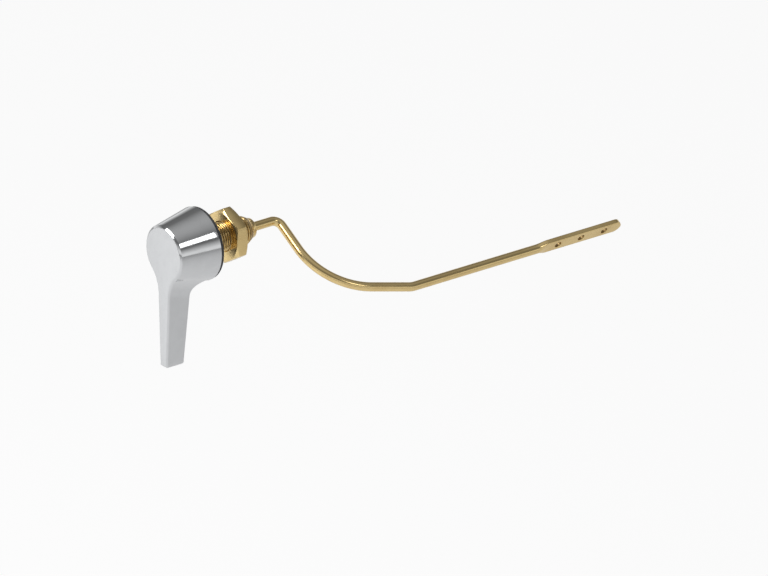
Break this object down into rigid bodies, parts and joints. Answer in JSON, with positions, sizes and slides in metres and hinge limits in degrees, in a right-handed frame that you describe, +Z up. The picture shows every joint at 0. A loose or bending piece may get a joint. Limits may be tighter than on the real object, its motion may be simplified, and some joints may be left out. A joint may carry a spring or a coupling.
{
  "type": "cistern lever",
  "caption": "Side-mounted cistern lever: chromed handle on a conical barrel, threaded bushing with hexagon nut, and bent lift arm with a drilled flat end.",
  "frame": {"origin": "on the spindle's axis, in the plane of the gasket's back face, which seats on the wall's outer face", "axes": "+X along the spindle into the cistern, +Z up, so the lever's tip points to -Z and the arm's offset goes to -Y"},
  "size_m": [0.2638, 0.0784, 0.0859],
  "materials": {
    "handle": "polished plate",
    "spindle": "turned",
    "arm": "drawn rod, bright",
    "arm_end": "pressed flat, bright",
    "bushing": "turned",
    "nut": "machined",
    "gasket": "matt",
    "friction_washer": "matt"
  },
  "bodies": {
    "wall_fitting": {"bushing": "bushing", "gasket": "gasket", "nut": "nut", "friction_washer": "friction_washer"},
    "lever": {"handle": "handle", "spindle": "spindle", "arm": "arm", "arm_end": "arm_end"}
  },
  "joints": [
    {"name": "lever_turn", "type": "hinge", "parent": "wall_fitting", "child": "lever", "pos_m": [0, 0, 0], "axis": [-1, 0, 0], "range_deg": [0, 50]}
  ]
}
